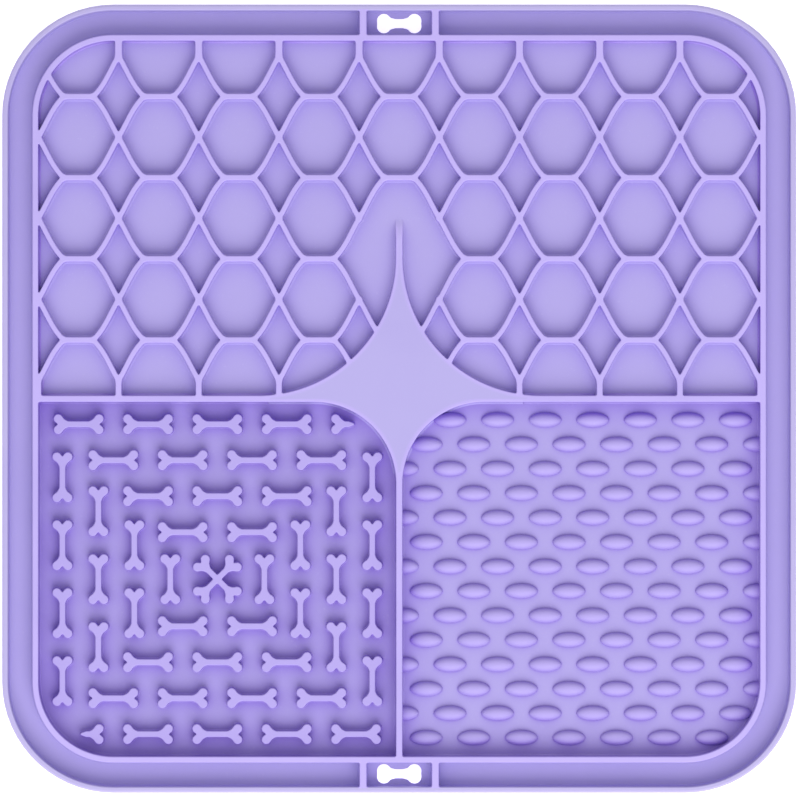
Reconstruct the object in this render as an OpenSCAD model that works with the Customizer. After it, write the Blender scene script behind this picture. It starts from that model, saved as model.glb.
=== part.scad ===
// Square silicone lick mat, seen with its honeycomb half towards +Y.
// The floor sheet carries a rim, walls, ribs, studs and bumps on top, and suction cups below.
// Each moulded feature is a solid of its own, and neighbours meet face to face.

/* [Mat] */
// Width of the mat, left to right
mat_w = 200; // [190:0.5:230]
// Depth of the mat, top to bottom
mat_d = 198.5; // [190:0.5:230]
// Radius of the mat's round corners
corner_r = 28; // [26:0.5:32]
// Thickness of the floor sheet
sheet_t = 1.8; // [1.2:0.1:3]

/* [Rim and walls] */
// Height of the rim, walls and ribs above the sheet
wall_h = 5; // [4.2:0.1:7]
// Width of the outer rim
rim_w = 1.5; // [1.2:0.05:1.8]
// Width of the gutter between the rim and the inner wall
gutter_w = 6.15; // [5.8:0.05:6.6]
// Width of the inner wall
wall_w = 1.5; // [1.2:0.05:1.8]
// Width of the walls that divide the field
divider_w = 1.6; // [1.2:0.05:2]

/* [Honeycomb] */
// Width of the slanted ribs
rib_w = 1.25; // [1:0.05:1.35]
// Width of the level bars
bar_w = 1.45; // [1.2:0.05:1.7]
// Length of a level bar, joint to joint
bar_len = 7.5; // [6.8:0.1:8.2]
// How far a slanted rib bows out of its cell
rib_bow = 0.45; // [0.3:0.01:0.6]
// Length of the upright stubs that end the columns
stub_len = 3.8; // [3:0.1:4.6]
// Width of the stubs at the inner wall
top_stub_w = 1.8; // [1.4:0.05:2]
// Width of the stubs at the cross divider
bottom_stub_w = 1.5; // [1.45:0.05:2]
// Height of the honeycomb's raised floor above the sheet
cell_floor_h = 2; // [1:0.1:3]

/* [Star] */
// Radius of the star's two upper edges
star_r = 34.7; // [34:0.1:36]
// Radius of the lower pockets' round corners
pocket_r = 20.6; // [19:0.1:22]
// Width of the spike above the star
spike_w = 1.7; // [1.4:0.05:2]
// Distance between the spike's tip and the level bar above it
spike_tip_gap = 9.25; // [8:0.05:12]

/* [Bones] */
// Height of the bone studs above the sheet
stud_h = 3.2; // [2.4:0.1:4]
// Length of a bone stud
bone_len = 12.5; // [11.5:0.1:13]
// Width of a bone stud across its lobes
bone_end_w = 5; // [4.6:0.1:5.4]
// Width of a bone stud's shaft
bone_shaft_w = 1.55; // [1.3:0.05:1.8]
// Radius of a bone stud's lobes
bone_lobe_r = 1.1; // [1:0.01:1.2]
// Distance from the pocket's middle to the first ring of bones
ring_first_r = 11.85; // [11.4:0.05:12.2]
// Distance from the cross divider to the middle of the outermost row of bones
ring_margin = 5.6; // [5.2:0.1:6]
// Distance from the pocket's side to the middle of the outermost column of bones
ring_side_margin = 5.975; // [5.575:0.1:6.375]
// Length of a bone of the crossed pair
crossed_len = 13.6; // [12.6:0.1:14]

/* [Ovals] */
// Length of an oval bump
oval_len = 8.3; // [7.5:0.05:8.8]
// Width of an oval bump, which is twice its height
oval_w = 3.8; // [3.2:0.1:4.4]
// Distance from the pocket's edge to the first row of ovals
oval_margin = 4.55; // [4:0.05:5.5]

/* [Hanging bays] */
// Distance between the two cross ribs of a bay, middle to middle
bay_w = 18.2; // [16:0.1:22]
// Width of a cross rib
bay_rib_w = 1.75; // [1.4:0.05:2.2]
// Length of the bone-shaped hanging hole
hole_len = 11.2; // [10:0.1:12]
// Width of the hanging hole across its lobes
hole_end_w = 4.9; // [4.4:0.1:5.2]
// Width of the hanging hole's narrow middle
hole_shaft_w = 2.3; // [2:0.1:2.6]
// Radius of the hanging hole's lobes
hole_lobe_r = 1.75; // [1.6:0.05:1.9]

/* [Suction cups] */
// Height of a suction cup below the sheet
cup_h = 3.2; // [2.6:0.1:4]
// Radius of a cup's lip
cup_lip_r = 7.5; // [6.5:0.1:9]
// Radius of a cup's neck
cup_neck_r = 3.2; // [2.8:0.1:4]
// Thickness of a cup at its lip
cup_lip_t = 0.7; // [0.5:0.05:1]
// Width of the flat ring that a cup stands on
cup_land_w = 0.7; // [0.5:0.05:1]
// Depth of a cup's hollow
cup_hollow_h = 1.7; // [1.2:0.1:2]
// Distance from cup to cup
cup_pitch = 36; // [34:0.5:38]

/* [Hidden] */
$fn = 72;
floor_z = cup_h + sheet_t;

// The field inside the inner wall
field_inset = rim_w + gutter_w + wall_w;
field_w = mat_w - 2 * field_inset;
field_d = mat_d - 2 * field_inset;
half_divider = divider_w / 2;

// Honeycomb: columns of cells, and rows of joints numbered down from the top
cell_columns = 9;
cell_rows = 4;
mid_column = (cell_columns - 1) / 2;
open_row = 2;
column_pitch = field_w / cell_columns;
row_pitch = (field_d / 2 - half_divider - 2 * stub_len) / cell_rows;
side_dx = (column_pitch - bar_len) / 2;
side_dy = row_pitch / 2;
side_chord = norm([side_dx, side_dy]);
half_turn = 2 * atan(2 * rib_bow / side_chord);
side_r = side_chord / (2 * sin(half_turn));
bar_slope = atan2(side_dy, side_dx) - half_turn;
joint_slope = atan2(side_dy, side_dx) + half_turn;
joint_reach = rib_w / 2 / sin(joint_slope);
joint_rise = rib_w / 2 / cos(joint_slope);
side_steps = 4;

// The star's block ends short of the points where its curves turn tangent to the walls
star_side_share = 0.93;
star_head_share = 0.93;
star_foot_share = 0.9;
star_tip_x = star_side_share * star_r;
star_head_y = star_head_share * star_r;
star_foot_y = star_foot_share * pocket_r;
spike_tip_h = 0.4;
spike_reach = joint_y(open_row - 1) - side_dy - bar_w / 2 - spike_tip_gap;
// The spike is level over this share of its length and then slopes down
spike_level_share = 0.63;
spike_slope_y = star_head_y + spike_level_share * (spike_reach - star_head_y);

// Bone pocket: square rings of studs about the pocket's middle
bone_rings = 4;
pocket_w = field_w / 2 - half_divider;
pocket_d = field_d / 2 - half_divider;
pocket_x = half_divider + pocket_w / 2;
pocket_y = -half_divider - pocket_d / 2;
ring_last_x = pocket_w / 2 - ring_side_margin;
ring_last_y = pocket_d / 2 - ring_margin;
ring_step_x = (ring_last_x - ring_first_r) / (bone_rings - 1);
ring_step_y = (ring_last_y - ring_first_r) / (bone_rings - 1);
row_inset = 0.35;
bone_pitch_x = (2 * (ring_last_x - row_inset) + bone_end_w - bone_len) / bone_rings;
bone_pitch_y = bone_len + (2 * ring_last_y - bone_end_w - bone_rings * bone_len) / (bone_rings + 1);
bone_fork = 1.4;
bone_arm_w = 2.1;
cut_bone_len = 5.85;
cut_bone_taper = 1.5;

// Oval pocket: staggered rows, with half an oval left over in each row
oval_rows = 14;
ovals_in_row = 7;
oval_pitch_x = pocket_w / (ovals_in_row + 0.5);
oval_pitch_y = (pocket_d - 2 * oval_margin) / (oval_rows - 1);
oval_r = (oval_len * oval_len / 4 + oval_w * oval_w / 4) / oval_w;
// Rows in each group, counted from the cross divider; the lower group has the rest
oval_upper_rows = 4;
oval_upper_middle_rows = 3;
oval_lower_middle_rows = 3;

// Hanging holes: middle of the gutter, with arms as wide as the lobes allow
bay_y = mat_d / 2 - rim_w - gutter_w / 2;
hole_fork = 1.6;
hole_arm_w = 2.6;

// Suction cups
cup_columns = 5;
cup_neck_h = 0.8;
cup_hollow_r = cup_lip_r - cup_land_w;
cup_ball_r = (cup_hollow_r * cup_hollow_r + cup_hollow_h * cup_hollow_h) / (2 * cup_hollow_h);

lilac = "#b7a6ee";
light_lilac = "#cbbafc";
star_lilac = "#bdb3ec";

// Height of a row of honeycomb joints, row 0 at the top
function joint_y(row) = half_divider + stub_len + (cell_rows - row) * row_pitch;

// Middle of a column of cells
function column_x(column) = (column - mid_column) * column_pitch;

function polar(r, angle) = [r * cos(angle), r * sin(angle)];

// Outline of a cell's upper right rib, in the cell's own axes: from the end of the bar, mitred
// against the bar and the next cell's rib, along the bowed side to the joint, mitred again, and back
function side_rib_points() =
    let (
        start = [bar_len / 2, side_dy],
        joint = [column_pitch / 2, 0],
        middle = start - polar(side_r, 90 - bar_slope),
        turn = bar_slope - joint_slope,
        slide = (bar_w - rib_w * cos(bar_slope)) / 2 / sin(bar_slope)
    )
    concat(
        [start, start + [rib_w / 2 / sin(bar_slope), 0]],
        [for (i = [1 : side_steps - 1])
            middle + polar(side_r + rib_w / 2, 90 - bar_slope + turn * i / side_steps)],
        [joint + [0, joint_rise], joint, joint - [joint_reach, 0]],
        [for (i = [side_steps - 1 : -1 : 1])
            middle + polar(side_r - rib_w / 2, 90 - bar_slope + turn * i / side_steps)],
        [start + polar(slide, -bar_slope) - polar(rib_w / 2, 90 - bar_slope)]
    );

// Outline of a level bar, pointed where the ribs meet it
function bar_points() =
    let (
        slide = (bar_w - rib_w * cos(bar_slope)) / 2 / sin(bar_slope),
        shoulder = bar_len / 2 + slide * cos(bar_slope) - rib_w / 2 * sin(bar_slope)
    )
    [
        [bar_len / 2, 0], [shoulder, bar_w / 2], [-shoulder, bar_w / 2],
        [-bar_len / 2, 0], [-shoulder, -bar_w / 2], [shoulder, -bar_w / 2]
    ];

// One side of a stub's outline, from the joint to the far end; its foot lies on the ribs' outer edges
function stub_side(w, side) =
    [[side * joint_reach, 0], [side * w / 2, -(w / 2 - joint_reach) * tan(joint_slope)], [side * w / 2, stub_len]];

// Whether a bump at this place of the oval pocket stays inside its edge and its two round corners
function clear_of_edge(x, y) =
    let (
        field_r = corner_r - field_inset,
        star_reach = [pocket_r - x + oval_len / 2, pocket_r - y + oval_w / 2],
        wall_reach = [x + oval_len / 2 - pocket_w + field_r, y + oval_w / 2 - pocket_d + field_r]
    )
    x >= oval_len / 2 && x <= pocket_w - oval_len / 2
    && (min(star_reach) <= 0 || norm(star_reach) <= pocket_r)
    && (min(wall_reach) <= 0 || norm(wall_reach) <= field_r);

// Raises a flat shape from the sheet's top
module on_sheet(h) {
    translate([0, 0, floor_z])
        linear_extrude(h)
            children();
}

// Raises a flat shape from the honeycomb's floor to the walls' top
module on_cell_floor() {
    translate([0, 0, floor_z + cell_floor_h])
        linear_extrude(wall_h - cell_floor_h)
            children();
}

// The mat's outline, drawn in by a distance
module mat_outline(inset) {
    r = corner_r - inset;
    w = mat_w - 2 * inset;
    d = mat_d - 2 * inset;
    square([w - 2 * r, d], center = true);
    square([w, d - 2 * r], center = true);
    for (x = [-1, 1], y = [-1, 1])
        translate([x * (w / 2 - r), y * (d / 2 - r)])
            circle(r);
}

module outline_ring(outer_inset, w) {
    difference() {
        mat_outline(outer_inset);
        mat_outline(outer_inset + w);
    }
}

// The quadrant below the cross divider on one side, with the round corner at the star
module pocket_quadrant(side) {
    middle = half_divider + pocket_r;
    mirror([side < 0 ? 1 : 0, 0, 0]) {
        translate([middle, -middle])
            circle(pocket_r);
        translate([middle, -mat_d])
            square([mat_w, mat_d - half_divider]);
        translate([half_divider, -mat_d])
            square([mat_w, mat_d - middle]);
    }
}

module star_outline() {
    difference() {
        translate([-star_tip_x, -star_foot_y])
            square([2 * star_tip_x, star_foot_y + star_head_y]);
        for (side = [-1, 1]) {
            translate([side * (spike_w / 2 + star_r), half_divider + star_r])
                circle(star_r);
            pocket_quadrant(side);
        }
    }
}

// A bone lying along X: a shaft that forks into two lobes at each of the ends asked for
module bone(length, end_w, shaft_w, lobe_r, fork, arm_w, ends = [-1, 1]) {
    lobe_x = length / 2 - lobe_r;
    lobe_y = end_w / 2 - lobe_r;
    for (end = ends, side = [-1, 1]) {
        translate([end * lobe_x, side * lobe_y])
            circle(lobe_r);
        translate([end * (lobe_x - fork), 0])
            mirror([end < 0 ? 1 : 0, 0, 0])
                rotate(side * atan2(lobe_y, fork))
                    translate([-arm_w / 4, -arm_w / 2])
                        square([norm([fork, lobe_y]) + arm_w / 4, arm_w]);
    }
}

module stud_bone(length) {
    bone(length, bone_end_w, bone_shaft_w, bone_lobe_r, bone_fork, bone_arm_w);
    square([length - 2 * (bone_lobe_r + bone_fork), bone_shaft_w], center = true);
}

// The end of a stud bone that a round corner leaves, with its shaft run out to a point
module cut_bone(end) {
    fork_x = bone_len / 2 - bone_lobe_r - bone_fork;
    point_x = bone_len / 2 - cut_bone_len;
    bone(bone_len, bone_end_w, bone_shaft_w, bone_lobe_r, bone_fork, bone_arm_w, [end]);
    mirror([end < 0 ? 1 : 0, 0, 0])
        polygon([
            [fork_x, bone_shaft_w / 2], [point_x + cut_bone_taper, bone_shaft_w / 2], [point_x, 0],
            [point_x + cut_bone_taper, -bone_shaft_w / 2], [fork_x, -bone_shaft_w / 2]
        ]);
}

module hanging_hole() {
    bone(hole_len, hole_end_w, hole_shaft_w, hole_lobe_r, hole_fork, hole_arm_w);
    square([hole_len - 2 * hole_lobe_r, hole_shaft_w], center = true);
}

// Floor of the whole mat, with a hanging hole in each bay
module base_sheet() {
    color(lilac)
        translate([0, 0, cup_h])
            linear_extrude(sheet_t)
                difference() {
                    mat_outline(0);
                    for (side = [-1, 1])
                        translate([0, side * bay_y])
                            hanging_hole();
                }
}

// Lip around the edge of the mat
module outer_rim() {
    color(light_lilac)
        on_sheet(wall_h)
            outline_ring(0, rim_w);
}

// Wall around the licking field
module inner_wall() {
    color(light_lilac)
        on_sheet(wall_h)
            outline_ring(rim_w + gutter_w, wall_w);
}

// Left and right arms of the wall below the honeycomb
module cross_divider() {
    arm = field_w / 2 - star_tip_x;
    color(light_lilac)
        on_sheet(wall_h)
            for (side = [-1, 1])
                translate([side * (star_tip_x + arm / 2), 0])
                    square([arm, divider_w], center = true);
}

// Wall between the two lower pockets
module lower_divider() {
    arm = field_d / 2 - star_foot_y;
    color(light_lilac)
        on_sheet(wall_h)
            translate([0, -star_foot_y - arm / 2])
                square([divider_w, arm], center = true);
}

// Flat star where the dividers meet
module centre_star() {
    color(star_lilac)
        on_sheet(wall_h)
            star_outline();
}

// Thin spike above the star, which slopes down to the honeycomb's floor at its tip
module star_spike() {
    color(star_lilac)
        translate([spike_w / 2, 0, floor_z])
            rotate([0, -90, 0])
                linear_extrude(spike_w)
                    polygon([
                        [cell_floor_h, star_head_y], [wall_h, star_head_y], [wall_h, spike_slope_y],
                        [cell_floor_h + spike_tip_h, spike_reach], [cell_floor_h, spike_reach]
                    ]);
}

// Raised floor of the whole honeycomb, which makes its cells shallower than the pockets
module honeycomb_floor() {
    color(lilac)
        on_sheet(cell_floor_h)
            difference() {
                intersection() {
                    mat_outline(field_inset);
                    translate([-mat_w / 2, half_divider])
                        square([mat_w, mat_d]);
                }
                star_outline();
            }
}

// Level bars between the cells, but for the one below the open middle cell
module honeycomb_bars() {
    color(light_lilac)
        on_cell_floor()
            difference() {
                for (row = [0 : cell_rows - 1], column = [0 : cell_columns - 1])
                    if (column != mid_column || row != open_row)
                        translate([column_x(column), joint_y(row) - side_dy])
                            polygon(bar_points());
                star_outline();
            }
}

// The slanted ribs on one side of every cell, upper or lower, cut by the star and the field's corners
module side_ribs(level, side) {
    first_row = level > 0 ? 1 : 0;
    closed_row = level > 0 ? open_row + 1 : open_row;
    color(light_lilac)
        on_cell_floor()
            difference() {
                intersection() {
                    for (row = [first_row : first_row + cell_rows - 1], column = [0 : cell_columns - 1])
                        if (column != mid_column || row != closed_row)
                            translate([column_x(column), joint_y(row)])
                                mirror([side < 0 ? 1 : 0, 0, 0])
                                    mirror([0, level < 0 ? 1 : 0, 0])
                                        polygon(side_rib_points());
                    mat_outline(field_inset);
                }
                star_outline();
            }
}

module honeycomb_upper_left_ribs() {
    side_ribs(1, -1);
}

module honeycomb_upper_right_ribs() {
    side_ribs(1, 1);
}

module honeycomb_lower_left_ribs() {
    side_ribs(-1, -1);
}

module honeycomb_lower_right_ribs() {
    side_ribs(-1, 1);
}

// Upright stubs between the top joints and the inner wall
module honeycomb_top_stubs() {
    color(light_lilac)
        on_cell_floor()
            for (column = [1 : cell_columns - 1])
                translate([column_x(column) - column_pitch / 2, joint_y(0)])
                    polygon(concat(stub_side(top_stub_w, 1), [for (i = [2 : -1 : 0]) stub_side(top_stub_w, -1)[i]]));
}

// Upright stubs between the bottom joints and the cross divider, with half a stub at each wall
module honeycomb_bottom_stubs() {
    color(light_lilac)
        on_cell_floor()
            difference() {
                for (column = [0 : cell_columns])
                    translate([column_x(column) - column_pitch / 2, joint_y(cell_rows)])
                        mirror([0, 1, 0])
                            polygon(concat(
                                column == cell_columns ? [[0, 0]] : stub_side(bottom_stub_w, 1),
                                column == cell_columns || column == 0 ? [[0, stub_len]] : [],
                                column == 0 ? [[0, 0]] : [for (i = [2 : -1 : 0]) stub_side(bottom_stub_w, -1)[i]]
                            ));
                star_outline();
            }
}

// Studs that lie along X: a row above and a row below in each ring, one bone more per ring
module bone_studs_horizontal() {
    color(light_lilac)
        translate([-pocket_x, pocket_y, 0])
            for (ring = [0 : bone_rings - 1], level = [-1, 1], i = [0 : ring + 1]) {
                x = (i - (ring + 1) / 2) * bone_pitch_x;
                y = level * (ring_first_r + ring * ring_step_y);
                at_corner = ring == bone_rings - 1 && i == (level > 0 ? ring + 1 : 0);
                translate([x, y, 0])
                    on_sheet(stud_h)
                        if (at_corner)
                            cut_bone(-level);
                        else
                            stud_bone(bone_len);
            }
}

// Studs that stand along Y: a column on the left and on the right in each ring
module bone_studs_vertical() {
    color(light_lilac)
        translate([-pocket_x, pocket_y, 0])
            for (ring = [0 : bone_rings - 1], side = [-1, 1], i = [0 : ring])
                translate([side * (ring_first_r + ring * ring_step_x), (i - ring / 2) * bone_pitch_y, 0])
                    rotate(90)
                        on_sheet(stud_h)
                            stud_bone(bone_len);
}

// Two bones crossed in the middle of the pocket
module crossed_bones() {
    color(light_lilac)
        translate([-pocket_x, pocket_y, 0])
            for (angle = [45, 135])
                rotate(angle)
                    on_sheet(stud_h)
                        stud_bone(crossed_len);
}

// A bump lying along X: the upper half of a spindle
module oval_bump() {
    rotate([0, 90, 0])
        rotate([0, 0, 90])
            rotate_extrude(angle = 180)
                intersection() {
                    translate([oval_w / 2 - oval_r, 0])
                        circle(oval_r);
                    translate([0, -oval_len])
                        square([oval_w, 2 * oval_len]);
                }
}

// Some staggered rows of bumps; those that reach past the pocket's edge are cut by it
module oval_bumps(rows_above, rows) {
    color(light_lilac)
        for (row = [rows_above : rows_above + rows - 1], i = [0 : ovals_in_row]) {
            x = (i + (row % 2) / 2) * oval_pitch_x;
            y = oval_margin + row * oval_pitch_y;
            if (clear_of_edge(x, y))
                translate([half_divider + x, -half_divider - y, floor_z])
                    oval_bump();
            else if (row != 0 || i != 0)
                intersection() {
                    translate([half_divider + x, -half_divider - y, floor_z])
                        oval_bump();
                    on_sheet(wall_h)
                        intersection() {
                            mat_outline(field_inset);
                            pocket_quadrant(1);
                        }
                }
        }
}

module oval_bumps_upper_rows() {
    oval_bumps(0, oval_upper_rows);
}

module oval_bumps_upper_middle_rows() {
    oval_bumps(oval_upper_rows, oval_upper_middle_rows);
}

module oval_bumps_lower_middle_rows() {
    oval_bumps(oval_upper_rows + oval_upper_middle_rows, oval_lower_middle_rows);
}

module oval_bumps_lower_rows() {
    rows_above = oval_upper_rows + oval_upper_middle_rows + oval_lower_middle_rows;
    oval_bumps(rows_above, oval_rows - rows_above);
}

// Two short ribs that close off a hanging bay
module hanger_ribs(side) {
    color(light_lilac)
        on_sheet(wall_h)
            for (x = [-1, 1])
                translate([x * bay_w / 2, side * bay_y])
                    square([bay_rib_w, gutter_w], center = true);
}

module hanger_ribs_top() {
    hanger_ribs(1);
}

module hanger_ribs_bottom() {
    hanger_ribs(-1);
}

// A cup with a short neck, a sloping skirt and a domed hollow that opens downwards
module suction_cup() {
    difference() {
        rotate_extrude()
            polygon([
                [0, 0], [cup_lip_r, 0], [cup_lip_r, cup_lip_t], [cup_neck_r, cup_h - cup_neck_h],
                [cup_neck_r, cup_h], [0, cup_h]
            ]);
        translate([0, 0, cup_hollow_h - cup_ball_r])
            sphere(cup_ball_r);
    }
}

// The cups on the edge of the grid, or those inside it
module suction_cups(on_edge) {
    last = (cup_columns - 1) / 2;
    color(lilac)
        for (x = [-last : last], y = [-last : last])
            if ((max(abs(x), abs(y)) == last) == on_edge)
                translate([x * cup_pitch, y * cup_pitch, 0])
                    suction_cup();
}

module suction_cups_outer() {
    suction_cups(true);
}

module suction_cups_inner() {
    suction_cups(false);
}

base_sheet();
outer_rim();
inner_wall();
cross_divider();
lower_divider();
centre_star();
star_spike();
honeycomb_floor();
honeycomb_bars();
honeycomb_upper_left_ribs();
honeycomb_upper_right_ribs();
honeycomb_lower_left_ribs();
honeycomb_lower_right_ribs();
honeycomb_top_stubs();
honeycomb_bottom_stubs();
bone_studs_horizontal();
bone_studs_vertical();
crossed_bones();
oval_bumps_upper_rows();
oval_bumps_upper_middle_rows();
oval_bumps_lower_middle_rows();
oval_bumps_lower_rows();
hanger_ribs_top();
hanger_ribs_bottom();
suction_cups_outer();
suction_cups_inner();
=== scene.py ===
"""Square silicone lick mat: honeycomb half, bone pocket, oval pocket, star, gutter and suction cups.

Plan shapes are worked out in millimetres from distance maps, raised into closed solids with rounded
top edges, drafted sides and soft feet, and written to Blender in metres in the frame of the model.
"""

import math

import bmesh
import bpy
import numpy as np
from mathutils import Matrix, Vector
from mathutils.geometry import delaunay_2d_cdt


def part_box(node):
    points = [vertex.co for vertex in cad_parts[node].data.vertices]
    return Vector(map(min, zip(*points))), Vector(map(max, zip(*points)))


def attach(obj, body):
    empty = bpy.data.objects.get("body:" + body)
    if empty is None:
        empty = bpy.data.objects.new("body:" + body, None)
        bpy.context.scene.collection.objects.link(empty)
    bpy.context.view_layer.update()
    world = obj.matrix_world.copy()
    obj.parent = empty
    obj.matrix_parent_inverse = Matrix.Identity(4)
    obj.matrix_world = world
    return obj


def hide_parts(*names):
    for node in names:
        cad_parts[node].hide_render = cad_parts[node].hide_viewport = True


bl_info = {
    "name": "Silicone Lick Mat",
    "version": (1, 0, 0),
    "blender": (4, 5, 0),
    "location": "View3D > Sidebar > Lick Mat",
    "description": "Builds a square silicone lick mat with its walls, ribs, studs, bumps and suction cups",
    "category": "Add Mesh",
}

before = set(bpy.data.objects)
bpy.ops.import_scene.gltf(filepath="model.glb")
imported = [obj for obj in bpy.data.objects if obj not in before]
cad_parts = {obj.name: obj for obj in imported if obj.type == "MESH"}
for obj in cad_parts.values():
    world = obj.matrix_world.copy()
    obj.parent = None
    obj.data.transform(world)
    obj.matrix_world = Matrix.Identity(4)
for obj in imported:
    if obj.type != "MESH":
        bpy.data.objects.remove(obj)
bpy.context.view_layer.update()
MM = 0.001

# Millimetres, unless they are counts, shares or angles
SINK = 0.08  # how far a skin runs into the face that it stands on
FLOOR_BITE, OVAL_BITE = 0.3, 0.35  # how far a piece runs into the wall beside it
FAR = 50.0  # a distance that nothing is near
QUARTER = math.pi / 2

WALL_STEP, STUD_STEP, FLOOR_STEP = 0.2, 0.07, 0.4  # squares of the distance maps
WALL_TOLERANCE, STUD_TOLERANCE, FLOOR_TOLERANCE = 0.009, 0.006, 0.02  # how closely outlines keep to the maps
RIM_STRIDE, FLOOR_STRIDE, WALL_STRIDE, SPIKE_STRIDE = 12.0, 8.0, 2.0, 0.5  # longest steps along an outline
HOLE_MAP, BONE_MAP, PAIR_MAP = (7, 4), (8, 4), (8, 8)  # half sizes of small shapes' maps
RIB_ROOM = 3.0  # how far around a rib its distances are worked out
FEWEST_POINTS = 6  # a loop with fewer is a speck

EDGE_ROWS, FOOT_ROWS, HOLE_ROWS = 5, 6, 4  # points on a wall's top edge, on its foot and on a hole's edges
FOOT = slice(-FOOT_ROWS - 1, -1)  # rows of the foot, before the row that sinks in
RIM_TUCK = 0.02  # how far the lowest row of the rim stands in from its face
CORNER_POINTS = 16  # points on a round corner of the mat
LEAST_FOOT, FOOT_STEPS, FOOT_SLOPE = 0.08, 12, 0.5  # share of a crowded foot that stays, tries, change along a loop
CLEAR_SHARE, CLEAR_SLACK = 0.93, 0.03  # part of a step that has to be free of other walls, and what it may lack
SLIVER = 0.04  # height below which a triangle goes with a neighbour
SETTLE_TURNS, LOOSEN_TURNS = 5, 3

STAR_SHARE, POCKET_SHARE = 0.93, 0.9  # how much of its two radii the star reaches along the dividers
SPIKE_SOFT, SPIKE_LATE, SPIKE_THIN = 1.4, 0.15, 0.03  # soft end, late start of its fade, last share of its height
SPIKE_HALF, SPIKE_BEYOND, SPIKE_MARGIN = 2.6, 1.6, 1.0  # strip that it fades in, and the part with short steps
SPIKE_FINE, SPIKE_ROOM = 2.2, 3.0  # half widths of the part with short steps, and of what counts as spike
BOW_RISE, BOW_FALL, BOW_PEAK, BOW_POINTS = 0.95, 1.9, 0.174, 11  # form of a rib's bow, strongest near the bar
MISSING_ROW = 2  # row whose middle cell has no bar below it, so that it is open to the star

STUD_EDGE, STUD_DRAFT, STUD_FOOT = 0.3, 0.08, 0.3  # profile of a bone's side
SOFT_LOBE, SOFT_SHAFT, SOFT_TIP = 0.35, 0.5, 0.3  # soft corners of a bone
CUT_LENGTH, CUT_END, CUT_TAPER = 5.85, 0.25, 1.5  # what a round corner takes off a bone, its tip's half width, taper
BONE_RINGS, ROW_TRIM = 4, 0.35  # rings of bones, and how much their rows stop short of the outermost column
HOLE_SHAFT, HOLE_LOBE, HOLE_FORK, HOLE_ARM = 2.3, 1.75, 1.6, 2.6  # shape of a hanging hole
SHEET_EDGE, HOLE_EDGE = 0.45, 0.2  # rounded edges of the sheet's underside and of its holes
OVAL_ROWS, OVALS_IN_ROW, OVAL_POINTS, OVAL_LEVELS = 14, 7, 40, 9
OVAL_FORM, OVAL_CROWN = (0.95, 1.05), 0.9  # powers that make an oval's outline fuller or leaner, and its dome
OVAL_END_X, OVAL_END_Y = 0.7, 0.5  # point of an oval that a round corner reaches first: share, millimetres
CUPS_ACROSS, CUP_POINTS, CUP_ROOF = 5, 56, 1.74  # cups in a row, points around one, height of its hollow

# Looks: noise as scale, detail and roughness, and the metres over which a tint turns
CLOUD, SPECK, GRAIN = (45.0, 3.0, 0.55), (1900.0, 2.0, 0.5), (900.0, 4.0, 0.6)
DUST = (0.85, 0.84, 0.9, 1.0)
TURN_AT_WALL, TURN_AT_AXIS = 0.6 * MM, 0.1 * MM  # to both sides of a line
# The star's painted highlight turns in over TURN_AT_STAR from its edge; the tints turn over TURN_AT_FOOT above the
# foot
TURN_AT_STAR, TURN_AT_FOOT = (0.3 * MM, 1.3 * MM), (0.2 * MM, 1.6 * MM)  # from the edge and from the foot

# Metres
LAMP_PLACE, LAMP_SIZE = (0.15, -1.05, 1.12), 1.6
EYE_X, EYE_Y = 0.0002, -0.00033  # how far the picture's middle lies from the mat's
BACKDROP_HALF = 2.0
SENSOR = 36.0  # millimetres, as cameras state it
WHITE = (1.0, 1.0, 1.0, 1.0)

RIM_LOW, RIM_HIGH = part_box("outer_rim")
SHEET_LOW, SHEET_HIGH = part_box("base_sheet")
STUD_LOW, STUD_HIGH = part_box("crossed_bones")
CUP_LOW, CUP_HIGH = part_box("suction_cups_outer")
OVAL_LOW, OVAL_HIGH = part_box("oval_bumps_lower_rows")
SPIKE_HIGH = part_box("star_spike")[1]
CELL_LOW, CELL_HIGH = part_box("honeycomb_floor")


def length(name, description, default, low=0.0, high=0.5):
    return bpy.props.FloatProperty(
        name=name, description=description, default=default, min=low, max=high,
        subtype="DISTANCE", unit="LENGTH", precision=5)


def share(name, description, default, low=0.0, high=1.0):
    return bpy.props.FloatProperty(
        name=name, description=description, default=default, min=low, max=high, subtype="FACTOR")


def colour(name, description, default):
    return bpy.props.FloatVectorProperty(
        name=name, description=description, default=default, size=4, min=0.0, max=1.0, subtype="COLOR")


class LickMatSheetSizes(bpy.types.PropertyGroup):
    """Sizes of the sheet, its rim, walls and gutter"""

    width: length("Width", "Mat from left to right", RIM_HIGH.x - RIM_LOW.x)
    depth: length("Depth", "Mat from top to bottom", RIM_HIGH.y - RIM_LOW.y)
    corner: length("Corner Radius", "Radius of the round outer corners", 0.028)
    floor: length("Floor Height", "Top of the sheet above what the mat stands on", SHEET_HIGH.z)
    sheet: length("Sheet Thickness", "Thickness of the sheet", SHEET_HIGH.z - SHEET_LOW.z)
    wall: length("Wall Height", "Walls, ribs and rim above the sheet", RIM_HIGH.z - SHEET_HIGH.z)
    rim: length("Rim Width", "Width of the outer rim", 0.0015)
    gutter: length("Gutter Width", "Width of the gutter inside the rim", 0.00615)
    inner_wall: length("Inner Wall Width", "Width of the wall around the field", 0.0015)
    divider: length("Divider Width", "Width of the walls that divide the field", 0.0016)
    edge: length("Edge Rounding", "Radius of the top edges of walls and ribs", 0.0003)
    rim_edge: length("Rim Edge Rounding", "Radius of the rim's outer top edge", 0.0007)
    draft: length("Draft", "How far a wall widens towards its foot", 0.0001)
    foot: length("Foot Radius", "Radius where a wall runs into the sheet", 0.0005)


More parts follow.
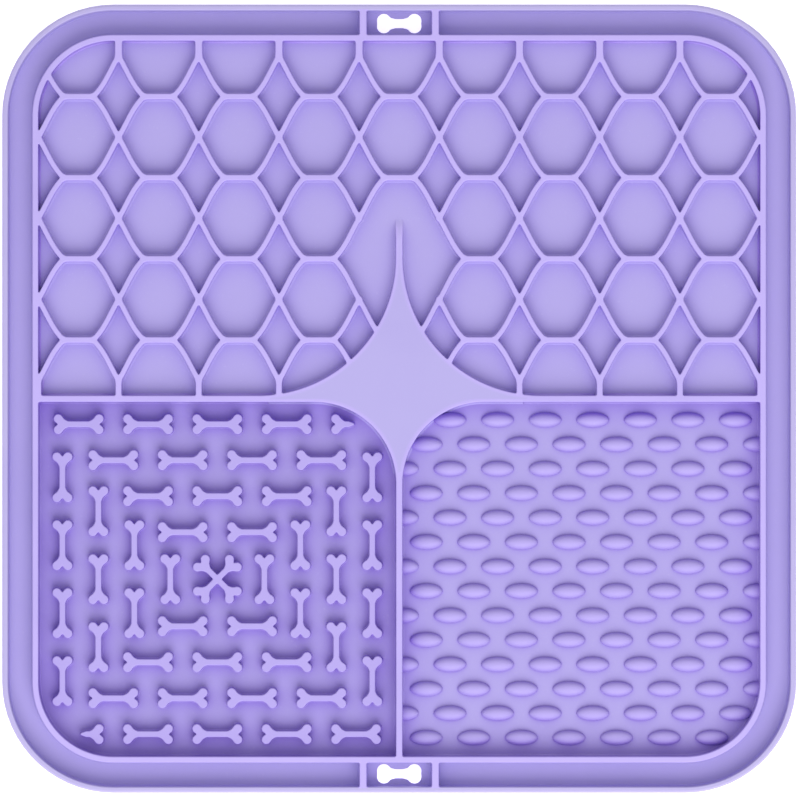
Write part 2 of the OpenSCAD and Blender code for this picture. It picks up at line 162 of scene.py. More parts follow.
class LickMatHoneycombSizes(bpy.types.PropertyGroup):
    """Sizes of the honeycomb and the star"""

    columns: bpy.props.IntProperty(name="Columns", description="Cells from left to right", default=9, min=3, max=15)
    rows: bpy.props.IntProperty(name="Rows", description="Cells from top to bottom", default=4, min=3, max=8)
    rib: length("Rib Width", "Width of a slanted rib", 0.0013)
    bar: length("Bar Width", "Width of a level bar", 0.00145)
    bar_length: length("Bar Length", "Length of a level bar", 0.0073)
    bow: length("Rib Bow", "How far a slanted rib bows out", 0.00055)
    stub: length("Stub Length", "Length of the upright stubs", 0.0038)
    top_stub: length("Top Stub Width", "Width of the stubs at the inner wall", 0.0018)
    bottom_stub: length("Bottom Stub Width", "Width of the stubs at the divider", 0.0015)
    star: length("Star Radius", "Radius of the star's two upper edges", 0.0347)
    pocket: length("Pocket Radius", "Radius of the pockets' corners at the star", 0.0206)
    spike: length("Spike Width", "Width of the spike above the star", 0.0017)
    reach: length("Spike Reach", "Reach of the spike above the middle", SPIKE_HIGH.y)
    fade: length("Spike Fade", "Length over which the spike runs out", 0.0062)
    blend: length("Corner Blend", "Softness of the corners between ribs", 0.00045)
    raised: length("Raised Floor", "Honeycomb's floor above the sheet", CELL_HIGH.z - CELL_LOW.z)


class LickMatStudSizes(bpy.types.PropertyGroup):
    """Sizes of the bones, ovals, hanging holes and cups"""

    height: length("Bone Height", "Bones above the sheet", STUD_HIGH.z - STUD_LOW.z)
    bone: length("Bone Length", "Length of a bone", 0.0125)
    bone_end: length("Bone End", "Width of a bone over its lobes", 0.005)
    shaft: length("Shaft Width", "Width of a bone's shaft", 0.00155)
    lobe: length("Lobe Radius", "Radius of a bone's lobes", 0.0011)
    fork: length("Fork Length", "From a lobe's middle to where the bone forks", 0.0014)
    arm: length("Arm Width", "Width of a bone's two arms at each end", 0.0021)
    first_ring: length("First Ring", "Pocket's middle to the first ring of bones", 0.01185)
    ring_margin: length("Ring Margin", "Divider to the outermost row of bones", 0.0056)
    side_margin: length("Side Margin", "Pocket's side to the outermost column of bones", 0.005975)
    crossed: length("Crossed Bone", "Length of a bone of the crossed pair", 0.0136)
    oval: length("Oval Length", "Length of an oval bump", 0.0083)
    oval_width: length("Oval Width", "Width of an oval bump", 0.0038)
    oval_height: length("Oval Height", "Oval bumps above the sheet", OVAL_HIGH.z - OVAL_LOW.z)
    oval_margin: length("Oval Margin", "Pocket's edge to the first row of ovals", 0.00455)
    bay: length("Bay Width", "Distance between the two ribs of a hanging bay", 0.0182)
    bay_rib: length("Bay Rib Width", "Width of a rib of a hanging bay", 0.00175)
    hole: length("Hole Length", "Length of a hanging hole", 0.0112)
    hole_end: length("Hole End", "Width of a hanging hole over its lobes", 0.0049)
    cup: length("Cup Height", "Cups below the sheet", CUP_HIGH.z - CUP_LOW.z)
    cup_radius: length("Cup Radius", "Radius of a cup's lip", 0.0075)
    cup_neck: length("Cup Neck", "Radius of a cup's neck", 0.0032)
    cup_pitch: length("Cup Pitch", "Distance from cup to cup", 0.036)


class LickMatLook(bpy.types.PropertyGroup):
    """Colours and finish of the silicone, with the painted shade and painted light in its tints"""

    flat_colour: colour("Flat Colour", "Silicone of the star and the cups", (0.44, 0.39, 0.74, 1.0))
    # Sheet Colour is darker than the flat tint: painted shade on the floors of the deep pockets. Gutter Colour is
    # lighter: painted light on the gutter's floor
    sheet_colour: colour("Sheet Colour", "Silicone of the sheet inside the inner wall", (0.415, 0.36, 0.722, 1.0))
    gutter_colour: colour("Gutter Colour", "Silicone of the sheet outside the inner wall", (0.465, 0.405, 0.765, 1.0))
    # Painted light: the thin walls, ribs and the star's edge are lit lighter than the flat tint
    wall_colour: colour("Wall Colour", "Silicone of the thin walls, ribs and studs", (0.49, 0.405, 0.83, 1.0))
    # Painted reflection: the rim is a lighter, greyer copy of the flat tint, for the pale floor seen in its rounded
    # top
    rim_colour: colour("Rim Colour", "Silicone of the outer rim", (0.47, 0.42, 0.72, 1.0))
    stud_colour: colour("Stud Colour", "Silicone of the bones and ovals", (0.43, 0.355, 0.76, 1.0))
    # Painted shade: this darker purple is mixed into the silicone where walls close in around it, in corners, creases
    # and recesses
    deep_colour: colour("Deep Colour", "Silicone where the mat closes in around it", (0.23, 0.125, 0.58, 1.0))
    cell_colour: colour("Cell Colour", "Silicone of the honeycomb's floor", (0.43, 0.375, 0.735, 1.0))
    shade_colour: colour("Mottle Colour", "Slightly deeper patches in the silicone", (0.39, 0.33, 0.70, 1.0))
    # How strongly the painted shade shows in the pockets, in the honeycomb and outside the inner wall
    depth: share("Depth", "How strongly the deep colour shows", 0.78)
    cell_depth: share("Cell Depth", "How strongly the deep colour shows in the honeycomb", 0.36)
    gutter_depth: share("Gutter Depth", "How strongly the deep colour shows outside the inner wall", 0.1)
    # How near the walls must be for the painted shade
    reach: length("Reach", "How near the walls must be for the deep colour", 0.011)
    roughness: share("Roughness", "Matt finish of the moulded skin", 0.5)


class LickMatStudio(bpy.types.PropertyGroup):
    """Floor, lights and camera"""

    floor_colour: colour("Backdrop Colour", "Plain pale floor", (0.97, 0.97, 0.97, 1.0))
    floor_glow: bpy.props.FloatProperty(name="Backdrop Glow", description="Light that the pale floor gives of itself",
                                        default=0.6, min=0.0)
    key: bpy.props.FloatProperty(name="Key Light", description="Power of the soft key light",
                                 default=18.8, min=0.0, unit="POWER")
    fill: bpy.props.FloatProperty(name="Fill Light", description="Strength of the even light from all around",
                                  default=0.72, min=0.0)
    camera_height: length("Camera Height", "Camera above the floor", 2.0, 0.3, 10.0)
    view_width: length("View Width", "Width that the picture shows at the top of the walls", 0.20134, 0.05, 1.0)


def round_rect(x, y, half_w, half_d, r):
    """Distance to a rectangle with round corners, negative inside"""
    qx, qy = np.abs(x) - half_w + r, np.abs(y) - half_d + r
    return np.hypot(np.maximum(qx, 0), np.maximum(qy, 0)) + np.minimum(np.maximum(qx, qy), 0) - r


def line(x, y, points, half_w):
    """Distance to a bent strip of that half width"""
    best = np.full(np.shape(x), 1e3)
    for (ax, ay), (bx, by) in zip(points[:-1], points[1:]):
        dx, dy = bx - ax, by - ay
        t = np.clip(((x - ax) * dx + (y - ay) * dy) / (dx * dx + dy * dy), 0, 1)
        best = np.minimum(best, np.hypot(x - ax - t * dx, y - ay - t * dy))
    return best - half_w


def soft_min(a, b, k):
    """Smaller of two distances, with a soft corner of about k"""
    h = np.maximum(k - np.abs(a - b), 0) / k
    return np.minimum(a, b) - h * h * k / 4


class Plan:
    """A map of distances over a rectangle of the plan, in millimetres"""

    def __init__(self, half_w, half_d, step, start):
        self.step = step
        self.x = np.arange(-half_w, half_w + step, step)
        self.y = np.arange(-half_d, half_d + step, step)
        self.d = np.full((len(self.y), len(self.x)), float(start))

    def mesh(self):
        return np.meshgrid(self.x, self.y)

    def window(self, points, margin):
        """Rows and columns around some points"""
        (x0, y0), (x1, y1) = np.min(points, 0) - margin, np.max(points, 0) + margin
        return tuple(slice(max(0, int((low - first) / self.step)), max(0, int((high - first) / self.step) + 2))
                     for low, high, first in ((y0, y1, self.y[0]), (x0, x1, self.x[0])))

    def at(self, p):
        """Distances at some points"""
        u = np.clip((p[:, 0] - self.x[0]) / self.step, 0, len(self.x) - 1.001)
        v = np.clip((p[:, 1] - self.y[0]) / self.step, 0, len(self.y) - 1.001)
        c, r = u.astype(int), v.astype(int)
        u, v = u - c, v - r
        d = self.d
        return ((d[r, c] * (1 - u) + d[r, c + 1] * u) * (1 - v)
                + (d[r + 1, c] * (1 - u) + d[r + 1, c + 1] * u) * v)


# Edge that a contour enters and leaves a square of the map by, for each pattern of its four corners
TRACKS = {1: ((0, 3),), 2: ((1, 0),), 3: ((1, 3),), 4: ((2, 1),), 5: ((0, 3), (2, 1)), 6: ((2, 0),), 7: ((2, 3),),
          8: ((3, 2),), 9: ((0, 2),), 10: ((1, 0), (3, 2)), 11: ((1, 2),), 12: ((3, 1),), 13: ((0, 1),),
          14: ((3, 0),)}


def contours(plan):
    """Closed loops where the map is zero, with its positive side on the left"""
    d, cols = plan.d, plan.d.shape[1]
    up = (d > 0).astype(int)
    code = up[:-1, :-1] + 2 * up[:-1, 1:] + 4 * up[1:, 1:] + 8 * up[1:, :-1]
    following = {}
    for pattern, tracks in TRACKS.items():
        r, c = np.nonzero(code == pattern)
        at = r * cols + c
        keys = (at * 2, (at + 1) * 2 + 1, (at + cols) * 2, at * 2 + 1)
        for enter, leave in tracks:
            following.update(zip(keys[enter].tolist(), keys[leave].tolist()))
    loops = []
    while following:
        key, chain = next(iter(following)), []
        while key in following:
            chain.append(key)
            key = following.pop(key)
        k = np.array(chain)
        r, c = np.divmod(k // 2, cols)
        r2, c2 = r + (k % 2), c + 1 - (k % 2)
        a, b = d[r, c], d[r2, c2]
        t = a / (a - b)
        x = plan.x[0] + plan.step * (c + t * (c2 - c))
        y = plan.y[0] + plan.step * (r + t * (r2 - r))
        loops.append(np.column_stack([x, y]))
    return loops


def thin_out(loop, tolerance):
    """Fewer points on a closed loop, none further from it than the tolerance"""
    n = len(loop)
    far = int(np.argmax(np.hypot(*(loop - loop[0]).T)))
    points = np.vstack([loop, loop[:1]])
    keep = {0, far}
    work = [(0, far), (far, n)]
    while work:
        a, b = work.pop()
        if b - a < 2:
            continue
        p, q = points[a], points[b]
        (dx, dy), between = q - p, points[a + 1:b] - p
        off = np.abs(dx * between[:, 1] - dy * between[:, 0]) / max(math.hypot(dx, dy), 1e-9)
        i = int(np.argmax(off))
        if off[i] > tolerance:
            keep.add(a + 1 + i)
            work += [(a, a + 1 + i), (a + 1 + i, b)]
    return loop[sorted(keep)]


def fill_in(loop, longest):
    """Points added to a closed loop where two lie further apart than longest(middle)"""
    points = []
    for p, q in zip(loop, np.roll(loop, -1, axis=0)):
        steps = max(1, math.ceil(np.hypot(*(q - p)) / longest((p + q) / 2)))
        points += [p + (q - p) * i / steps for i in range(steps)]
    return np.array(points)


def away(loop):
    """Unit directions to the left of a closed loop, one for each point"""
    ahead = np.roll(loop, -1, axis=0) - loop
    ahead /= np.hypot(*ahead.T)[:, None]
    both = ahead + np.roll(ahead, 1, axis=0)
    both /= np.hypot(*both.T)[:, None]
    return np.column_stack([-both[:, 1], both[:, 0]])


def top_edge(height, radius, count=EDGE_ROWS):
    """Rows down a rounded top edge: offset, height, and the normal's parts outward and up"""
    return [(radius * (math.sin(a) - 1), height - radius * (1 - math.cos(a)), math.sin(a), math.cos(a))
            for a in np.linspace(0, QUARTER, count)]


def bottom_edge(height, radius, count=EDGE_ROWS):
    """Rows down and under a rounded bottom edge"""
    return [(radius * (math.cos(a) - 1), height + radius * (1 - math.sin(a)), math.cos(a), -math.sin(a))
            for a in np.linspace(0, QUARTER, count)]


def profile(height, edge, draft, foot):
    """Rows down a wall's face, from its top edge to its foot; the last one sinks in"""
    rows = [(draft + foot * (1 - math.cos(a)), foot * (1 - math.sin(a)), math.cos(a), math.sin(a))
            for a in np.linspace(0, QUARTER, FOOT_ROWS)]
    return np.array(top_edge(height, edge) + rows + [(draft + foot, -SINK, 1.0, 0.0)])


def band(above, below, n):
    """Faces between two rings of n points, each given by the number of its first point"""
    return [(above + (i + 1) % n, above + i, below + i, below + (i + 1) % n) for i in range(n)]


def owners_of_sides(triangles):
    """The triangle on the left of each directed side"""
    return {side: t for t, (a, b, c) in enumerate(triangles) for side in ((a, b), (b, c), (c, a))}


def triangulate(loops, web_left=()):
    """Triangles of the web that lies on the right of each loop, or on the left of those named; points are
    counted through all loops"""
    verts = [Vector(p) for loop in loops for p in loop]
    edges, web, start = [], [], 0
    for index, loop in enumerate(loops):
        n = len(loop)
        for i in range(n):
            a, b = start + i, start + (i + 1) % n
            edges.append((a, b))
            web.append((a, b) if index in web_left else (b, a))
        start += n
    found, _, faces, origin, _, _ = delaunay_2d_cdt(verts, edges, [], 0, 1e-7, True)
    if len(found) != len(verts):
        raise RuntimeError(f"loops cross: {len(verts)} points became {len(found)}")
    number = [ids[0] for ids in origin]
    triangles = [tuple(number[i] for i in f) for f in faces]
    side_of = owners_of_sides(triangles)
    border = set(web) | {(b, a) for a, b in web}
    kept = {side_of[edge] for edge in web if edge in side_of}
    work = list(kept)
    while work:
        a, b, c = triangles[work.pop()]
        for edge in ((a, b), (b, c), (c, a)):
            other = side_of.get(edge[::-1])
            if edge not in border and other is not None and other not in kept:
                kept.add(other)
                work.append(other)
    return np.array([triangles[t] for t in sorted(kept)])


def foot_limits(loop, out, start, end, room):
    """How far a wall's foot may reach from each point of its loop, where another wall stands near"""
    n, limit, clear = len(loop), np.full(len(loop), start + LEAST_FOOT * (end - start)), np.ones(len(loop), bool)
    for step in np.linspace(start, end, FOOT_STEPS)[1:]:
        clear &= room.at(loop + out * step) > CLEAR_SHARE * step - CLEAR_SLACK
        limit[clear] = step
    gap = np.hypot(*(np.roll(loop, -1, axis=0) - loop).T)
    for i in [*range(n)] * 2:
        limit[i] = min(limit[i], limit[i - 1] + FOOT_SLOPE * gap[i - 1])
    for i in [*range(n - 1, -1, -1)] * 2:
        limit[i] = min(limit[i], limit[(i + 1) % n] + FOOT_SLOPE * gap[i])
    return limit


class Relief:
    """Loops raised into solids: rings of points, triangles on top, and the number of each triangle's piece"""

    def __init__(self, loops, outward, rows, room=None, rim_edge=None, lifts=None):
        """With a rim_edge, the last loop is the mat's outer face, which has no foot"""
        height, start, end = rows[0, 1], rows[FOOT, 0][0], rows[FOOT, 0][-1]
        span, rim = end - start, None if rim_edge is None else len(loops) - 1
        position, normal = [], []
        for index, (loop, out) in enumerate(zip(loops, outward)):
            table = rows
            if index == rim:
                straight = [(0.0, (height - rim_edge) * k / FOOT_ROWS, 1.0, 0.0) for k in range(FOOT_ROWS)][::-1]
                table = np.array(top_edge(height, rim_edge) + straight + [(-RIM_TUCK, 0.0, 1.0, 0.0)])
            t, z, level, upright = (np.repeat(column[:, None], len(loop), 1) for column in table.T)
            if index != rim:
                limit = end if room is None else foot_limits(loop, out, start, end, room)
                t[FOOT.start:] = start + (t[FOOT.start:] - start) * ((limit - start) / span)
                u = np.clip(1 - (t[FOOT] - start) / span, 0, 1)
                z[FOOT] = (lifts[index] if lifts else 0.0) + span * (1 - np.sqrt(1 - u * u))
                level[FOOT], upright[FOOT] = u, np.sqrt(1 - u * u)
            position.append(np.dstack([loop[None, :, :] + t[:, :, None] * out[None, :, :], z]))
            normal.append(np.dstack([level[:, :, None] * out[None, :, :], upright]))
        self.position, self.normal = np.concatenate(position, 1), np.concatenate(normal, 1)
        self.rings, self.count = self.position.shape[:2]
        tops = np.split(self.position[0, :, :2], np.cumsum([len(loop) for loop in loops])[:-1])
        self.triangles = triangulate(tops, (rim,))
        self.middles = self.position[0, :, :2][self.triangles].mean(1)
        self.owner = np.zeros(len(self.triangles), int)
        self.side_of = owners_of_sides(self.triangles.tolist())

    def settle(self):
        """Give slivers and lone triangles the owner of the neighbour that they belong with"""
        flat = self.position[0, :, :2]
        for turn in range(SETTLE_TURNS):
            for t, (a, b, c) in enumerate(self.triangles.tolist()):
                beside = []
                for p, q in ((a, b), (b, c), (c, a)):
                    other = self.side_of.get((q, p))
                    if other is not None:
                        beside.append((float(np.hypot(*(flat[p] - flat[q]))), int(self.owner[other])))
                owners, own = [owner for _, owner in beside], int(self.owner[t])
                u, v = flat[b] - flat[a], flat[c] - flat[a]
                longest = max(np.hypot(*u), np.hypot(*v), np.hypot(*(v - u)))
                if len(beside) == 1:
                    self.owner[t] = owners[0]
                elif len(beside) > 1 and len(set(owners)) < len(owners) and own not in owners:
                    self.owner[t] = max(set(owners), key=owners.count)
                elif turn == 0 and beside and abs(u[0] * v[1] - u[1] * v[0]) < SLIVER * longest:
                    self.owner[t] = max(beside)[1]

    def loosen(self):
        """Give triangles that touch the rest of their piece in one point only to the piece beside them"""
        around = {}
        for t, corners in enumerate(self.triangles.tolist()):
            for v in corners:
                around.setdefault(v, []).append(t)
        for v, ring in list(around.items()) * LOOSEN_TURNS:
            for owner in sorted(set(self.owner[ring].tolist())):
                fans = []
                for t in [t for t in ring if self.owner[t] == owner]:
                    rays = {w for w in self.triangles[t].tolist() if w != v}
                    near = [fan for fan in fans if fan[1] & rays]
                    fans = [fan for fan in fans if not fan[1] & rays]
                    fans.append((sum((fan[0] for fan in near), [t]), rays.union(*(fan[1] for fan in near))))
                others = [int(self.owner[t]) for t in ring if self.owner[t] != owner]
                if len(fans) > 1 and others:
                    self.owner[min(fans, key=lambda fan: len(fan[0]))[0]] = max(sorted(set(others)), key=others.count)

    def piece(self, owner):
        """Faces and corner normals of the closed solid made of one owner's triangles"""
        faces, normals, n, last = [], [], self.count, self.rings - 1
        for t in np.nonzero(self.owner == owner)[0]:
            a, b, c = self.triangles[t].tolist()
            faces += [(a, b, c), (last * n + c, last * n + b, last * n + a)]
            normals += [(0.0, 0.0, 1.0)] * 3 + [(0.0, 0.0, -1.0)] * 3
            for p, q in ((a, b), (b, c), (c, a)):
                other = self.side_of.get((q, p))
                if other is not None and self.owner[other] == owner:
                    continue
                dx, dy, _ = self.position[0, q] - self.position[0, p]
                side = np.array([dy, -dx, 0.0]) / max(math.hypot(dx, dy), 1e-9)
                for k in range(last):
                    face = (k * n + q, k * n + p, (k + 1) * n + p, (k + 1) * n + q)
                    faces.append(face)
                    normals += [tuple(side if other is not None else self.normal[divmod(i, n)]) for i in face]
        return faces, normals


def new_piece(name, position, faces, normals=None, tint=None):
    """The skin of one node, from points in millimetres above what the mat stands on"""
    used = sorted({i for f in faces for i in f})
    number = {old: new for new, old in enumerate(used)}
    mesh = bpy.data.meshes.new(name + "_skin")
    mesh.from_pydata((position[used] * MM).tolist(), [], [tuple(number[i] for i in f) for f in faces])
    mesh.polygons.foreach_set("use_smooth", [True] * len(mesh.polygons))
    if normals is not None:
        mesh.normals_split_custom_set(normals)
    mesh.update()
    piece = bpy.data.objects.new(name + "_skin", mesh)
    bpy.context.scene.collection.objects.link(piece)
    mesh.materials.append(bpy.data.materials["lilac_silicone" + ("_" + tint if tint else "")])
    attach(piece, "root")
    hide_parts(name)
    return piece


class Layout:
    """Every plan size in millimetres, worked out from the panel's values"""

    def __init__(self, scene):
        for start, group in (("", scene.lick_mat_sheet), ("h_", scene.lick_mat_honeycomb),
                             ("b_", scene.lick_mat_studs)):
            for key in group.__annotations__:
                value = getattr(group, key)
                setattr(self, start + key, value if isinstance(value, int) else value / MM)
        self.half_w, self.half_d = self.width / 2, self.depth / 2
        self.inset = self.rim + self.gutter + self.inner_wall
        self.field_x, self.field_y = self.half_w - self.inset, self.half_d - self.inset
        self.wall_inset = self.inset - self.inner_wall / 2
        self.half_div = self.divider / 2
        self.pitch = 2 * self.field_x / self.h_columns
        self.row_pitch = (self.field_y - self.half_div - 2 * self.h_stub) / self.h_rows
        self.pocket_w, self.pocket_d = self.field_x - self.half_div, self.field_y - self.half_div
        self.bay_y = self.half_d - self.rim - self.gutter / 2
        self.star_reach, self.star_down = STAR_SHARE * self.h_star, POCKET_SHARE * self.h_pocket

    def joint_y(self, row):
        return self.half_div + self.h_stub + (self.h_rows - row) * self.row_pitch

    def column_x(self, column):
        return (column - (self.h_columns - 1) / 2) * self.pitch

    def inside(self, x, y, inset):
        """Distance to the mat's outline, drawn in by an inset"""
        return round_rect(x, y, self.half_w - inset, self.half_d - inset, self.corner - inset)

    def rim_gap(self, x, y):
        return -self.inside(x, y, self.rim)

    def wall_gap(self, x, y):
        return np.abs(self.inside(x, y, self.wall_inset)) - self.inner_wall / 2

    def divider_gap(self, x, y):
        """Both dividers, the star and the spike: what four pockets with one round corner each leave"""
        def corner(u, v, r):
            return (np.hypot(np.maximum(r - u, 0), np.maximum(r - v, 0))
                    + np.minimum(np.maximum(r - u, r - v), 0) - r)
        above = corner(np.abs(x) - self.h_spike / 2, y - self.half_div, self.h_star)
        below = corner(np.abs(x) - self.half_div, -self.half_div - y, self.h_pocket)
        return -soft_min(-np.maximum(-above, -below), self.h_reach - y, SPIKE_SOFT)

    def hanger_gap(self, x, y):
        return np.maximum(np.abs(np.abs(x) - self.b_bay / 2) - self.b_bay_rib / 2,
                          np.abs(np.abs(y) - self.bay_y) - self.gutter / 2 - self.inner_wall / 2)

    def honeycomb(self):
        """Name, bent line and half width of every bar, rib and stub"""
        rows, cols, mid, gone = self.h_rows, self.h_columns, (self.h_columns - 1) // 2, MISSING_ROW
        half_bar, dx, dy = self.h_bar_length / 2, (self.pitch - self.h_bar_length) / 2, self.row_pitch / 2
        run = math.hypot(dx, dy)
        steps = np.linspace(0, 1, BOW_POINTS)
        bulge = self.h_bow * steps ** BOW_RISE * (1 - steps) ** BOW_FALL / BOW_PEAK
        u, v = half_bar + dx * steps + bulge * dy / run, dy * (1 - steps) + bulge * dx / run
        found = []
        for row in range(rows):
            for col in range(cols):
                if (col, row) != (mid, gone):
                    x, y = self.column_x(col), self.joint_y(row) - dy
                    found.append(("honeycomb_bars", [(x - half_bar, y), (x + half_bar, y)], self.h_bar / 2))
        for level, word, first in ((1, "upper", 1), (-1, "lower", 0)):
            for row in range(first, first + rows):
                for col in range(cols):
                    if (col, row) == (mid, gone + first):
                        continue
                    for side, hand in ((-1, "left"), (1, "right")):
                        points = np.column_stack([self.column_x(col) + side * u, self.joint_y(row) + level * v])
                        found.append((f"honeycomb_{word}_{hand}_ribs", points, self.h_rib / 2))
        for col in range(cols + 1):
            x = self.column_x(col) - self.pitch / 2
            if 0 < col < cols:
                y = self.joint_y(0)
                found.append(("honeycomb_top_stubs", [(x, y), (x, y + self.h_stub)], self.h_top_stub / 2))
            y = self.joint_y(rows)
            found.append(("honeycomb_bottom_stubs", [(x, y), (x, y - self.h_stub)], self.h_bottom_stub / 2))
        return found


WALL_NAMES = ["outer_rim", "inner_wall", "cross_divider", "lower_divider", "centre_star", "star_spike",
              "hanger_ribs_top", "hanger_ribs_bottom"]
RIB_NAMES = ["honeycomb_bars", "honeycomb_upper_left_ribs", "honeycomb_upper_right_ribs", "honeycomb_lower_left_ribs",
             "honeycomb_lower_right_ribs", "honeycomb_top_stubs", "honeycomb_bottom_stubs"]
WALL_TINTS = {"outer_rim": "rim", "centre_star": "star", "star_spike": "star"}
_made = {}


def outline(m):
    """Points of the mat's outline, counter-clockwise"""
    cx, cy = m.half_w - m.corner, m.half_d - m.corner
    points = []
    for quarter, (sx, sy) in enumerate(((1, 1), (-1, 1), (-1, -1), (1, -1))):
        for a in np.linspace(0, QUARTER, CORNER_POINTS) + quarter * QUARTER:
            points.append((sx * cx + m.corner * math.cos(a), sy * cy + m.corner * math.sin(a)))
    return fill_in(np.array(points), lambda p: RIM_STRIDE)


def wall_relief(m):
    """All walls, ribs and the star as one relief, each triangle given to the piece it lies in"""
    if "walls" in _made:
        return _made["walls"]
    plan = Plan(m.half_w, m.half_d, WALL_STEP, FAR)
    x, y = plan.mesh()
    for _, points, half in m.honeycomb():
        w = plan.window(points, RIB_ROOM)
        plan.d[w] = soft_min(plan.d[w], line(x[w], y[w], points, half), m.h_blend)
    within = m.inside(x, y, m.wall_inset)
    plan.d = np.maximum(plan.d, within)
    for gap in (np.maximum(m.divider_gap(x, y), within), m.wall_gap(x, y), m.hanger_gap(x, y), m.rim_gap(x, y)):
        plan.d = soft_min(plan.d, gap, m.h_blend)

    def longest(p):
        on_spike = (abs(p[0]) < SPIKE_FINE
                    and m.h_reach - m.h_fade - SPIKE_MARGIN < p[1] < m.h_reach + SPIKE_MARGIN)
        return SPIKE_STRIDE if on_spike else WALL_STRIDE

    loops = [fill_in(thin_out(loop, WALL_TOLERANCE), longest) for loop in contours(plan)]
    loops = [loop for loop in loops if len(loop) >= FEWEST_POINTS]
    outward = [away(loop) for loop in loops]
    loops.append(outline(m))
    outward.append(-away(loops[-1]))
    lifts = [m.h_raised if loop[:, 1].min() > 0 and m.inside(*loop.mean(0), m.inset) < 0 else 0.0 for loop in loops]
    relief = Relief(loops, outward, profile(m.wall, m.edge, m.draft, m.foot), plan, m.rim_edge, lifts)
    relief.on_cells = relief.position[-2, :, 2] > m.h_raised - 0.01

    x, y = relief.middles.T
    divider, hanger = np.maximum(m.divider_gap(x, y), m.inside(x, y, m.inset)), m.hanger_gap(x, y)
    across, down, up = np.abs(x) > m.star_reach, y < -m.star_down, (y > m.star_reach) & (np.abs(x) < SPIKE_ROOM)
    walls, gaps = len(WALL_NAMES), np.full((len(WALL_NAMES) + len(RIB_NAMES), len(x)), FAR)
    gaps[0], gaps[1] = m.rim_gap(x, y), m.wall_gap(x, y)
    for row, place in enumerate((across, down & ~across, ~across & ~down & ~up, up), 2):
        gaps[row] = np.where(place, divider, FAR)
    gaps[6], gaps[7] = np.where(y > 0, hanger, FAR), np.where(y < 0, hanger, FAR)
    for name, points, half in m.honeycomb():
        row = walls + RIB_NAMES.index(name)
        gaps[row] = np.minimum(gaps[row], line(x, y, points, half))
    beyond = ~relief.on_cells[relief.triangles].all(1)
    gaps[walls:, beyond] = 2 * FAR
    relief.owner = gaps.argmin(0)
    relief.settle()
    stray = beyond & (relief.owner >= walls)
    relief.owner[stray] = gaps[:walls, stray].argmin(0)
    relief.loosen()

    # the spike sinks into the raised floor over its last millimetres
    x, y, z = np.moveaxis(relief.position, 2, 0)
    slope = np.clip((m.h_reach + SPIKE_LATE - y) / m.h_fade, SPIKE_THIN, 1)
    ease = slope * slope * (3 - 2 * slope)
    spike = (np.abs(x) < SPIKE_HALF) & (y > m.star_reach) & (y < m.h_reach + SPIKE_BEYOND)
    steep = np.where(spike, ease, 1.0)
    relief.normal[:, :, :2] *= steep[:, :, None]
    relief.normal[:, :, 2] += 1 - steep
    relief.normal /= np.maximum(np.linalg.norm(relief.normal, axis=2), 1e-9)[:, :, None]
    high = spike & (z > m.h_raised)
    z[high] = m.h_raised + (z[high] - m.h_raised) * ease[high]
    _made["walls"] = relief
    return relief


def add_wall_pieces(context, names):
    """The named pieces of the wall relief, each a closed solid of its own"""
    m = Layout(context.scene)
    relief = wall_relief(m)
    on_sheet = relief.position + np.array([0, 0, m.floor])
    on_floor = on_sheet.copy()
    on_floor[-1, relief.on_cells, 2] += m.h_raised
    for name in names:
        rib = name in RIB_NAMES
        faces, normals = relief.piece((WALL_NAMES + RIB_NAMES).index(name))
        if not faces:
            raise RuntimeError(f"{name} has no faces")
        position = on_floor if rib or name == "star_spike" else on_sheet
        new_piece(name, position.reshape(-1, 3), faces, normals, WALL_TINTS.get(name, "ribs" if rib else "walls"))


def stud_loop(shape, half_w, half_d):
    """Outline of a small shape drawn as a distance function, negative inside"""
    plan = Plan(half_w, half_d, STUD_STEP, 0)
    plan.d = shape(*plan.mesh())
    return thin_out(max(contours(plan), key=len), STUD_TOLERANCE)


def bone_shape(length, end_w, shaft, lobe, fork, arm, ends=(-1, 1), cut=None):
    """Distance function of a bone that lies along X; one that is cut has one end and a shaft that tapers"""
    lx, ly = length / 2 - lobe, end_w / 2 - lobe
    reach = lx - fork

    def shape(x, y):
        d = np.full(np.shape(x), FAR)
        for end in ends:
            for side in (-1, 1):
                d = soft_min(d, np.hypot(x - end * lx, y - side * ly) - lobe, SOFT_LOBE)
                d = soft_min(d, line(x, y, [(end * reach, 0), (end * lx, side * ly)], arm / 2), SOFT_LOBE)
        if cut is None:
            return soft_min(d, line(x, y, [(-reach, 0), (reach, 0)], shaft / 2), SOFT_SHAFT)
        tip, x = length / 2 - cut, ends[0] * x
        taper = CUT_END + np.clip((x - tip) / CUT_TAPER, 0.0, 1.0) * (shaft / 2 - CUT_END)
        return soft_min(d, np.hypot(x - np.clip(x, tip + SOFT_TIP, reach), y) - taper, SOFT_TIP)
    return shape


def raise_stud(loop):
    """Points, faces and normals of one raised bone; the loop has the bone on its right"""
    height = bpy.context.scene.lick_mat_studs.height / MM
    relief = Relief([loop], [away(loop)], profile(height, STUD_EDGE, STUD_DRAFT, STUD_FOOT))
    return relief.position.reshape(-1, 3), *relief.piece(0)


def join(parts):
    """Several sets of points, faces and normals as one"""
    start, points, faces, normals = 0, [], [], []
    for p, f, n in parts:
        points.append(p)
        normals.append(n)
        faces += [tuple(i + start for i in face) for face in f]
        start += len(p)
    return np.vstack(points), faces, np.vstack(normals)


def copies(solid, places):
    """One solid set down at several places, each (x, y, z, angle in degrees)"""
    points, faces, normals = solid
    parts = []
    for x, y, z, angle in places:
        c, s = math.cos(math.radians(angle)), math.sin(math.radians(angle))
        turn = np.array([[c, s, 0], [-s, c, 0], [0, 0, 1]])
        parts.append((points @ turn + np.array([x, y, z]), faces, np.array(normals) @ turn))
    return join(parts)


